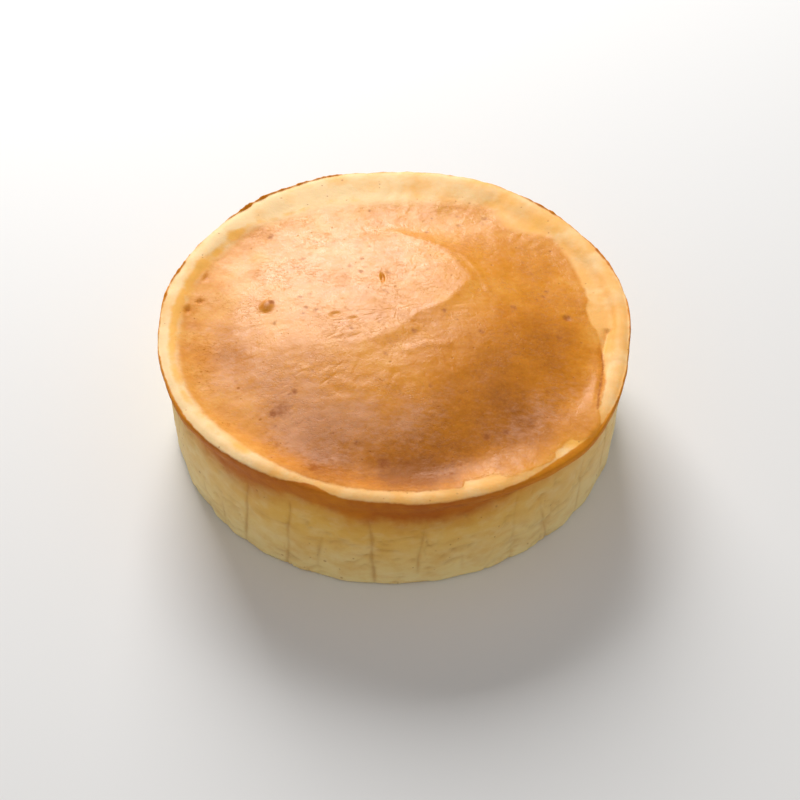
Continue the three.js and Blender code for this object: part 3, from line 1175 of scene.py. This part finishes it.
    def build(self) -> bpy.types.Object:
        """Build the cake's piece in its place.

        Returns:
            The piece, which rides on the body and replaces the solid.
        """
        points = self.section.points()
        mesh = self.spun(points)
        for paint, values in self.shape(mesh, points).items():
            layer = mesh.attributes.new(paint.value, "FLOAT", "POINT")
            layer.data.foreach_set("value", values.astype(np.float32))
        mesh.shade_smooth()
        piece = placed("cheesecake", mesh)
        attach(piece, BODY)
        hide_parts(CAD_NODE)
        return piece


def linear(red: int, green: int, blue: int) -> tuple[float, float, float, float]:
    """Return a screen colour, each channel from 0 to 255, as the linear colour that a shader takes.

    Args:
        red: The red channel.
        green: The green channel.
        blue: The blue channel.

    Returns:
        The linear colour, with nothing see-through.
    """

    def channel(value: int) -> float:
        """Return one channel's linear value."""
        share = value / 255
        return share / 12.92 if share <= 0.04045 else ((share + 0.055) / 1.055) ** 2.4

    return channel(red), channel(green), channel(blue), 1.0


@dataclass(frozen=True)
class Grain:
    """Procedural noise with lumps of a size, which reaches as far up as down from its middle."""

    size: float
    detail: float = 3
    roughness: float = 0.5
    reach: float = 0.5
    middle: float = 0
    distortion: float = 0
    stretch: tuple[float, float, float] = (1, 1, 1)
    turn: float = 0


@dataclass(frozen=True)
class Pores:
    """Scattered pores: the spacing of their places, the radius in spacings and how many places have one."""

    spacing: float
    radius: float
    share: float
    rim: float = 0.3
    blur: float = 0.05


class NodeCanvas:
    """Adds nodes to a material or a world, one call for each."""

    def __init__(self, owner: bpy.types.Material | bpy.types.World) -> None:
        """Start on an empty node tree."""
        owner.use_nodes = True
        self.tree = owner.node_tree
        self.tree.nodes.clear()
        self.coordinates = self.add("ShaderNodeTexCoord").outputs

    def add(self, kind: str, inputs: dict[str, object] | None = None, **settings: object) -> bpy.types.Node:
        """Add a node, set its properties, and link or set its inputs.

        Args:
            kind: Its type.
            inputs: What to feed to its inputs, by name.
            settings: Its properties.

        Returns:
            The node.
        """
        node = self.tree.nodes.new(kind)
        for name, value in settings.items():
            setattr(node, name, value)
        for name, value in (inputs or {}).items():
            self.feed(node.inputs[name], value)
        return node

    def feed(self, socket: Socket, value: object) -> None:
        """Link a socket to another one, or set it to a value."""
        if isinstance(value, Socket):
            self.tree.links.new(value, socket)
        else:
            socket.default_value = value

    def paint(self, paint: Paint) -> Socket:
        """Read a point attribute."""
        return self.add("ShaderNodeAttribute", attribute_name=paint.value).outputs["Fac"]

    def millimetres(self, axis: str) -> Socket:
        """Read an object coordinate in millimetres."""
        split = self.add("ShaderNodeSeparateXYZ", {"Vector": self.coordinates["Object"]})
        return self.times(split.outputs[axis], 1 / MM)

    def math(self, operation: str, a: object, b: object = 0.0, c: object = 0.0) -> Socket:
        """Work out one sum.

        Args:
            operation: What to work out.
            a: The first number.
            b: The second.
            c: The third.

        Returns:
            The socket that holds the result.
        """
        node = self.add("ShaderNodeMath", operation=operation)
        for socket, value in zip(node.inputs, (a, b, c)):
            self.feed(socket, value)
        return node.outputs[0]

    def plus(self, first: object, *others: object) -> Socket:
        """Add up numbers."""
        for other in others:
            first = self.math("ADD", first, other)
        return first

    def times(self, a: object, b: object) -> Socket:
        """Multiply two numbers."""
        return self.math("MULTIPLY", a, b)

    def rest(self, share: object) -> Socket:
        """Take a share from 1."""
        return self.math("SUBTRACT", 1.0, share)

    def step(self, value: object, low: float, high: float) -> Socket:
        """Rise smoothly from 0 at low to 1 at high."""
        inputs = {"Value": value, "From Min": low, "From Max": high}
        return self.add("ShaderNodeMapRange", inputs, interpolation_type="SMOOTHSTEP").outputs["Result"]

    def noise(self, grain: Grain) -> Socket:
        """Read soft noise.

        Args:
            grain: The noise's sizes.

        Returns:
            The socket that holds it.
        """
        mapping = self.add("ShaderNodeMapping", {
            "Vector": self.coordinates["Object"],
            "Scale": grain.stretch,
            "Rotation": (0, 0, math.radians(grain.turn)),
        })
        node = self.add("ShaderNodeTexNoise", {
            "Vector": mapping.outputs["Vector"],
            "Scale": 1 / (grain.size * MM),
            "Detail": grain.detail,
            "Roughness": grain.roughness,
            "Distortion": grain.distortion,
        })
        return self.math("MULTIPLY_ADD", node.outputs["Fac"], 2 * grain.reach, grain.middle - grain.reach)

    def pores(self, pores: Pores) -> Socket:
        """Read scattered round pores, 1 in the middle of each.

        Args:
            pores: Their sizes.

        Returns:
            The socket that holds them.
        """
        node = self.add("ShaderNodeTexVoronoi", {
            "Vector": self.coordinates["Object"],
            "Scale": 1 / (pores.spacing * MM),
        }, feature="F1")
        inside = self.rest(self.step(node.outputs["Distance"], pores.radius * pores.rim, pores.radius))
        split = self.add("ShaderNodeSeparateColor", {"Color": node.outputs["Color"]})
        return self.times(inside, self.step(split.outputs[0], 1 - pores.share, 1 - pores.share + pores.blur))

    def ramp(self, value: object, stops: dict[float, tuple]) -> Socket:
        """Read a colour ramp.

        Args:
            value: Where to read it.
            stops: Its colours, by their places.

        Returns:
            The socket that holds the colour.
        """
        node = self.add("ShaderNodeValToRGB", {"Fac": value})
        elements = node.color_ramp.elements
        while len(elements) < len(stops):
            elements.new(0.5)
        for element, (position, colour) in zip(elements, sorted(stops.items())):
            element.position = position
            element.color = colour
        return node.outputs["Color"]

    def mix(self, share: object, a: object, b: object, kind: str = "RGBA") -> Socket:
        """Mix two colours, or two numbers where the kind is FLOAT."""
        inputs = {"Factor": share, "A": a, "B": b}
        return self.add("ShaderNodeMix", inputs, data_type=kind, clamp_factor=True).outputs["Result"]


@dataclass(frozen=True)
class CrustFinish:
    """The browned skin of the dome."""

    pale: tuple = linear(236, 164, 66)
    golden: tuple = linear(228, 148, 44)
    amber: tuple = linear(214, 132, 26)
    brown: tuple = linear(197, 118, 18)
    deep: tuple = linear(166, 94, 12)
    mottle: Grain = Grain(8, 6, 0.68, 0.4)
    speckle: Grain = Grain(1.3, 4, 0.65, 0.22)
    # The dry skin's pinkish colour, which is partly painted sheen
    dusty_sheen: tuple = linear(232, 174, 142)
    dust_sheen_streaks: Grain = Grain(2.6, 5, 0.65, 0.8, distortion=0.5, stretch=(1, 1.7, 1))
    dust_sheen_rise: Span = (0.0, 1.1)
    dust_sheen_share: float = 0.55
    # The colour of scorch marks, also used for painted shade in the crack, the pores and the wrinkles
    scorched_and_shade: tuple = linear(160, 84, 14)
    scorch_edge: Grain = Grain(1.6, 4, 0.6, 0.45)
    scorch_rise: Span = (0.12, 0.85)
    scorch_share: float = 0.85
    wrinkle: Grain = Grain(3.2, 3, 0.55, 0.5, distortion=0.4, stretch=(1, 2.2, 1), turn=-25)
    wrinkle_half_width: float = 0.03
    wrinkle_patches: Grain = Grain(13, middle=0.5)
    patch_rise: Span = (0.44, 0.6)
    relief: Grain = Grain(1.8, 5, 0.6, 0.5, 0.5, distortion=0.6)
    roughness: float = 0.28
    rougher_when_brown: float = 0.12
    rougher_when_dull: float = 0.34
    rougher_in_dents: float = 0.3
    uneven_gloss: Grain = Grain(3.2, 4, 0.6, 0.15)

    def colour(self, canvas: NodeCanvas) -> Socket:
        """Return the crust's colour, from how baked it is, its scorch marks with the painted shade along the
        crack, and its dry patches, whose pinkish tint is partly painted sheen.

        Args:
            canvas: The material's canvas.

        Returns:
            The colour's socket.
        """
        tone = canvas.plus(canvas.paint(Paint.BAKE), canvas.noise(self.mottle), canvas.noise(self.speckle))
        colour = canvas.ramp(tone, {
            0.0: self.pale, 0.2: self.golden, 0.45: self.amber, 0.68: self.brown, 0.98: self.deep,
        })
        # Dry patches, partly painted sheen
        dust_and_sheen = canvas.plus(canvas.paint(Paint.DUST), canvas.noise(self.dust_sheen_streaks))
        dusty_sheen = canvas.times(canvas.step(dust_and_sheen, *self.dust_sheen_rise), self.dust_sheen_share)
        return canvas.mix(self.scorch(canvas), canvas.mix(dusty_sheen, colour, self.dusty_sheen), self.scorched_and_shade)

    def scorch(self, canvas: NodeCanvas) -> Socket:
        """Return the skin's scorch marks, with ragged edges, and the painted shade along the crack."""
        ragged = canvas.plus(canvas.paint(Paint.SCORCH), canvas.noise(self.scorch_edge))
        return canvas.times(canvas.step(ragged, *self.scorch_rise), self.scorch_share)

    def wrinkles(self, canvas: NodeCanvas) -> Socket:
        """Return the fine wrinkles in the skin, which lie in patches and run mostly from left to right."""
        away = canvas.math("ABSOLUTE", canvas.noise(self.wrinkle))
        line = canvas.rest(canvas.step(away, 0.0, self.wrinkle_half_width))
        return canvas.times(line, canvas.step(canvas.noise(self.wrinkle_patches), *self.patch_rise))

    def uneven_roughness(self, canvas: NodeCanvas, dents: Socket) -> Socket:
        """Return the skin's roughness, which is more where it is brown, dull or dented.

        Args:
            canvas: The material's canvas.
            dents: How deep in a dent each place is.

        Returns:
            The roughness's socket.
        """
        return canvas.plus(
            canvas.noise(self.uneven_gloss), self.roughness,
            canvas.times(canvas.paint(Paint.BAKE), self.rougher_when_brown),
            canvas.times(canvas.paint(Paint.DULL), self.rougher_when_dull),
            canvas.times(dents, self.rougher_in_dents),
        )


@dataclass(frozen=True)
class CrumbFinish:
    """The pale crumb of the rim and the side."""

    side_low: tuple = linear(248, 224, 158)
    side_high: tuple = linear(236, 184, 84)
    side_rise: Span = (2, 34)
    uneven_rise: Grain = Grain(11, 4, reach=5, middle=5)
    side_stain: tuple = linear(222, 160, 58)
    stains: Grain = Grain(9, 5, 0.62, 0.95, 0.1, stretch=(1, 1, 1.7))
    # Cream flecks, and also the colour of the painted light on the side's left and right
    side_fleck_and_light: tuple = linear(250, 230, 178)
    flecks: Grain = Grain(7, 5, 0.6, 0.5, 0.5, stretch=(1, 1, 1.4))
    fleck_rise: Span = (0.42, 0.72)
    fleck_share: float = 0.26
    # Painted light: the side is paler towards its left and right, where more light falls than on the front
    lit_side_across: Span = (28, 70)
    lit_side_share: float = 0.32
    rim: tuple = linear(253, 187, 100)
    rim_pale: tuple = linear(255, 215, 156)
    pale_patches: Grain = Grain(9, 4, 0.55, 1.5, 0.2)
    # Golden crumb, partly painted shade in the groove
    rim_golden_and_shade: tuple = linear(252, 184, 80)
    golden_and_shade_patches: Grain = Grain(6, 4, 0.5, 0.7)
    golden_and_shade_rise: Span = (0.3, 0.85)
    rim_start: Span = (37.5, 40)
    # The painted shade in the side's creases and wrinkles, and how much of it is mixed in
    crease_shade: tuple = linear(178, 116, 38)
    crease_shade_share: float = 0.42
    relief: Grain = Grain(0.9, 4, 0.6, 0.4, 0.4)
    roughness: float = 0.6

    def colour(self, canvas: NodeCanvas) -> Socket:
        """Return the crumb's colour, which turns from cream to gold up the side and in the groove, with
        painted light on the side's left and right, painted shade in its creases, and gold in the groove that
        is partly painted shade.

        Args:
            canvas: The material's canvas.

        Returns:
            The colour's socket.
        """
        height = canvas.millimetres("Z")
        up = canvas.step(canvas.plus(height, canvas.noise(self.uneven_rise)), *self.side_rise)
        side = canvas.mix(up, self.side_low, self.side_high)
        side = canvas.mix(canvas.noise(self.stains), side, self.side_stain)
        flecks = canvas.times(canvas.step(canvas.noise(self.flecks), *self.fleck_rise), self.fleck_share)
        # Painted light on the side's left and right
        across = canvas.step(canvas.math("ABSOLUTE", canvas.millimetres("X")), *self.lit_side_across)
        side = canvas.mix(canvas.plus(flecks, canvas.times(across, self.lit_side_share)), side, self.side_fleck_and_light)
        pale = canvas.plus(canvas.paint(Paint.PALE), canvas.noise(self.pale_patches))
        # Golden crumb, partly painted shade in the groove
        golden = canvas.plus(canvas.paint(Paint.GOLDEN), canvas.noise(self.golden_and_shade_patches))
        top = canvas.mix(pale, self.rim, self.rim_pale)
        top = canvas.mix(canvas.step(golden, *self.golden_and_shade_rise), top, self.rim_golden_and_shade)
        colour = canvas.mix(canvas.step(height, *self.rim_start), side, top)
        # Painted shade in the creases and wrinkles
        return canvas.mix(canvas.times(canvas.paint(Paint.CREASE), self.crease_shade_share), colour, self.crease_shade)


@dataclass(frozen=True)
class BandFinish:
    """The browned skin under the lip, with a line of painted shade near its lower edge."""

    light: tuple = linear(228, 143, 4)
    dark: tuple = linear(184, 96, 0)
    mottle: Grain = Grain(5, 4, reach=0.45)
    top_edge: Grain = Grain(2.2, 4, reach=0.35, middle=0.35)
    top_rise: Span = (0.0, 0.6)
    bottom_edge: Grain = Grain(9, 6, 0.68, 4)
    bottom_rises: tuple[Span, ...] = ((-3.0, 2.0), (-1.0, 8.0))
    # Painted shade: a darker line near the band's lower edge, for the shade under the step beneath the lip
    line: tuple = linear(166, 86, 6)
    step_shade_height: float = 1.4
    step_shade_rise: Span = (0.4, 1.6)
    step_shade_share: float = 0.7

    def laid_over(self, canvas: NodeCanvas, crumb: Socket) -> Socket:
        """Lay the band over the crumb.

        Args:
            canvas: The material's canvas.
            crumb: The crumb's colour.

        Returns:
            The colour of both.
        """
        below = canvas.plus(canvas.paint(Paint.BELOW_LIP), canvas.noise(self.top_edge))
        past_bottom = canvas.math("SUBTRACT", below, canvas.paint(Paint.BAND_DEPTH))
        ragged = canvas.plus(past_bottom, canvas.noise(self.bottom_edge))
        sharp, soft = (canvas.step(ragged, *rise) for rise in self.bottom_rises)
        above_bottom = canvas.rest(canvas.mix(0.5, sharp, soft, "FLOAT"))
        shown = canvas.times(canvas.step(below, *self.top_rise), above_bottom)
        tone = canvas.plus(canvas.paint(Paint.BAND_TONE), canvas.noise(self.mottle))
        # Painted shade near the band's lower edge
        from_step_shade = canvas.math("ABSOLUTE", canvas.plus(past_bottom, self.step_shade_height))
        near_step_shade = canvas.times(canvas.rest(canvas.step(from_step_shade, *self.step_shade_rise)), self.step_shade_share)
        line = canvas.times(near_step_shade, canvas.paint(Paint.BAND_LINE))
        colour = canvas.mix(line, canvas.mix(tone, self.light, self.dark), self.line)
        return canvas.mix(shown, crumb, colour)


@dataclass(frozen=True)
class BakedFinish:
    """The whole cake's finish: crumb, band and crust, laid over each other."""

    crust: CrustFinish = CrustFinish()
    crumb: CrumbFinish = CrumbFinish()
    band: BandFinish = BandFinish()
    crust_edge: Grain = Grain(4.5, 6, 0.62, 1.3)
    edge_rise: Span = (-0.4, 0.5)
    large_pores: Pores = Pores(6.5, 0.11, 0.35)
    small_pores: Pores = Pores(2.2, 0.19, 0.16)
    wrinkle_depth: float = 0.5
    # How far the pores and wrinkles are darkened, as painted shade
    dent_shade: float = 0.5
    dent_depth: float = 0.45
    bump_strength: float = 0.55
    bump_distance: float = 0.2
    refraction: float = 1.34
    subsurface: float = 0.1
    subsurface_reach: float = 2.5
    subsurface_radius: tuple[float, float, float] = (1.0, 0.45, 0.18)

    def build(self) -> bpy.types.Material:
        """Build the material.

        Returns:
            The material, whose patterns all read object coordinates or the mesh's paint.
        """
        material = bpy.data.materials.new("baked_cheesecake")
        canvas = NodeCanvas(material)
        inset = canvas.plus(canvas.paint(Paint.CRUST_INSET), canvas.noise(self.crust_edge))
        crust = canvas.step(canvas.math("DIVIDE", inset, canvas.paint(Paint.SOFTNESS)), *self.edge_rise)
        colour = self.band.laid_over(canvas, self.crumb.colour(canvas))
        colour = canvas.mix(crust, colour, self.crust.colour(canvas))

        pores = canvas.math("MAXIMUM", canvas.pores(self.small_pores), canvas.pores(self.large_pores))
        wrinkles = canvas.times(canvas.times(self.crust.wrinkles(canvas), crust), self.wrinkle_depth)
        dents = canvas.math("MAXIMUM", pores, wrinkles)
        # Painted shade: the pores and wrinkles are darkened towards the colour of the scorch marks
        colour = canvas.mix(canvas.times(dents, self.dent_shade), colour, self.crust.scorched_and_shade)
        dents = canvas.math("MAXIMUM", dents, self.crust.scorch(canvas))
        relief = canvas.mix(crust, canvas.noise(self.crumb.relief), canvas.noise(self.crust.relief), "FLOAT")
        bump = canvas.add("ShaderNodeBump", {
            "Height": canvas.math("SUBTRACT", relief, canvas.times(dents, self.dent_depth)),
            "Strength": self.bump_strength,
            "Distance": self.bump_distance * MM,
        })
        crust_roughness = self.crust.uneven_roughness(canvas, dents)
        shader = canvas.add("ShaderNodeBsdfPrincipled", {
            "Base Color": colour,
            "Roughness": canvas.mix(crust, self.crumb.roughness, crust_roughness, "FLOAT"),
            "Normal": bump.outputs["Normal"],
            "IOR": self.refraction,
            "Subsurface Weight": self.subsurface,
            "Subsurface Radius": self.subsurface_radius,
            "Subsurface Scale": self.subsurface_reach * MM,
        })
        canvas.add("ShaderNodeOutputMaterial", {"Surface": shader.outputs["BSDF"]})
        return material


@dataclass(frozen=True)
class Floor:
    """A plain pale floor that the cake stands on, with its half width in metres."""

    half_width: float = 8.0
    gap: float = 0.05
    colour: tuple = (0.80, 0.80, 0.80, 1.0)
    roughness: float = 0.7

    def build(self) -> bpy.types.Object:
        """Build the floor, just under the cake's foot.

        Returns:
            The floor.
        """
        bm = bmesh.new()
        bmesh.ops.create_grid(bm, x_segments=1, y_segments=1, size=self.half_width)
        bmesh.ops.translate(bm, verts=bm.verts[:], vec=(0, 0, -self.gap * MM))
        mesh = bpy.data.meshes.new("floor")
        bm.to_mesh(mesh)
        bm.free()
        material = bpy.data.materials.new("pale_floor")
        material.use_nodes = True
        shader = material.node_tree.nodes["Principled BSDF"]
        shader.inputs["Base Color"].default_value = self.colour
        shader.inputs["Roughness"].default_value = self.roughness
        mesh.materials.append(material)
        floor = placed("floor", mesh)
        return floor


@dataclass(frozen=True)
class WindowLight:
    """A large soft light behind the cake, like a window, with its lengths in metres."""

    azimuth: float = 104
    elevation: float = 33
    distance: float = 1.5
    aim_height: float = 0.03
    width: float = 0.8
    height: float = 0.95
    power: float = 28.5
    colour: tuple = (1.0, 0.985, 0.97)

    def build(self) -> bpy.types.Object:
        """Build the light, aimed at the cake.

        Returns:
            The light.
        """
        data = bpy.data.lights.new("window", "AREA")
        data.shape = "RECTANGLE"
        data.size, data.size_y = self.width, self.height
        data.energy = self.power
        data.color = self.colour
        a, e = math.radians(self.azimuth), math.radians(self.elevation)
        back = Vector((math.cos(a) * math.cos(e), math.sin(a) * math.cos(e), math.sin(e)))
        light = placed("window", data)
        light.location = back * self.distance + Vector((0, 0, self.aim_height))
        aim(light, back)
        return light


@dataclass(frozen=True)
class PhotoCamera:
    """The camera that the photograph was taken with, as its outlines give it."""

    elevation: float = 46.914
    distance: float = 525
    aim_x: float = 1.73
    aim_y: float = 4.64
    focal_pixels: float = 1556.4
    frame_pixels: int = 800
    sensor_width: float = 36
    roll: float = 1.067

    def build(self) -> bpy.types.Object:
        """Build the camera and make it the scene's.

        Returns:
            The camera.
        """
        data = bpy.data.cameras.new("photo_camera")
        data.sensor_width = self.sensor_width
        data.lens = self.focal_pixels * self.sensor_width / self.frame_pixels
        e = math.radians(self.elevation)
        back = Vector((0, -math.cos(e), math.sin(e)))
        camera = placed("photo_camera", data)
        camera.location = (Vector((self.aim_x, self.aim_y, 0)) + back * self.distance) * MM
        aim(camera, back, self.roll)
        bpy.context.scene.camera = camera
        return camera


@dataclass(frozen=True)
class RoomLight:
    """The soft light of the room, which is dimmer behind the cake, round the window."""

    from_right: float = 0.3
    front: float = 0.48
    back: float = 0.12
    start: float = 0.1
    end: float = 0.65
    colour: tuple = (1.0, 0.99, 0.97, 1.0)

    def build(self) -> bpy.types.World:
        """Build the world and make it the scene's.

        Returns:
            The world.
        """
        world = bpy.data.worlds.new("room")
        canvas = NodeCanvas(world)
        split = canvas.add("ShaderNodeSeparateXYZ", {"Vector": canvas.coordinates["Generated"]})
        towards_back = canvas.math("MULTIPLY_ADD", split.outputs["X"], -self.from_right, split.outputs["Y"])
        strength = canvas.add("ShaderNodeMapRange", {
            "Value": towards_back,
            "From Min": self.start,
            "From Max": self.end,
            "To Min": self.front,
            "To Max": self.back,
        }, interpolation_type="SMOOTHSTEP")
        background = canvas.add("ShaderNodeBackground", {
            "Color": self.colour,
            "Strength": strength.outputs["Result"],
        })
        canvas.add("ShaderNodeOutputWorld", {"Surface": background.outputs["Background"]})
        bpy.context.scene.world = world
        return world


@dataclass(frozen=True)
class Studio:
    """The floor, the lights and the camera."""

    floor: Floor = Floor()
    window: WindowLight = WindowLight()
    room: RoomLight = RoomLight()
    camera: PhotoCamera = PhotoCamera()

    def build(self) -> None:
        """Build the studio round the cake."""
        self.floor.build()
        self.window.build()
        self.room.build()
        self.camera.build()
        view = bpy.context.scene.view_settings
        view.view_transform = "Standard"
        view.look = "None"


def main() -> None:
    """Build the studio and the cake, and report each piece."""
    logging.basicConfig(level=logging.INFO, format="%(message)s")
    Studio().build()
    piece = Cheesecake().build()
    piece.data.materials.append(BakedFinish().build())
    LOG.info("%s: %d vertices, %d faces", piece.name, len(piece.data.vertices), len(piece.data.polygons))


if __name__ == "__main__":
    main()
